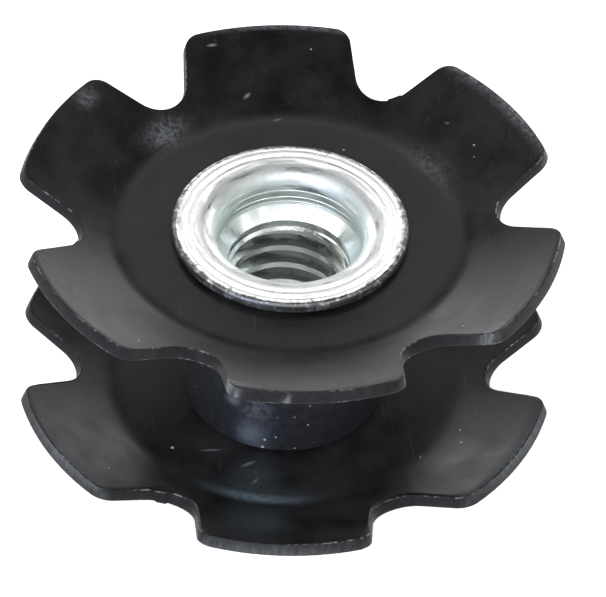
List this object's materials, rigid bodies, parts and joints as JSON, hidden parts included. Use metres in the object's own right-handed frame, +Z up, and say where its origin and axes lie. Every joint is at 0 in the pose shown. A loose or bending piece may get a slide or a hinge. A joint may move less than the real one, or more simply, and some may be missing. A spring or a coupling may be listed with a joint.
{
  "type": "star nut",
  "caption": "Star nut: dished spring-steel stars on a riveted threaded barrel with a spacer sleeve between, driven into a steerer tube to anchor a headset's preload bolt.",
  "frame": {"origin": "on the bore's axis, at the underside of the insert's shoulder, which is the lowest point", "axes": "+Z up the bore towards the flared head, where the bolt comes in; -Y along one petal of the upper star"},
  "size_m": [0.0232, 0.0234, 0.0125],
  "materials": {
    "star_steel": "spring steel sheet, blackened, satin",
    "sleeve_steel": "steel tube, blackened, satin",
    "insert_zinc": "turned steel, bright zinc plate"
  },
  "bodies": {
    "root": {"upper_star": "star_steel", "lower_star": "star_steel", "spacer_sleeve": "sleeve_steel", "threaded_insert": "insert_zinc"}
  },
  "joints": []
}
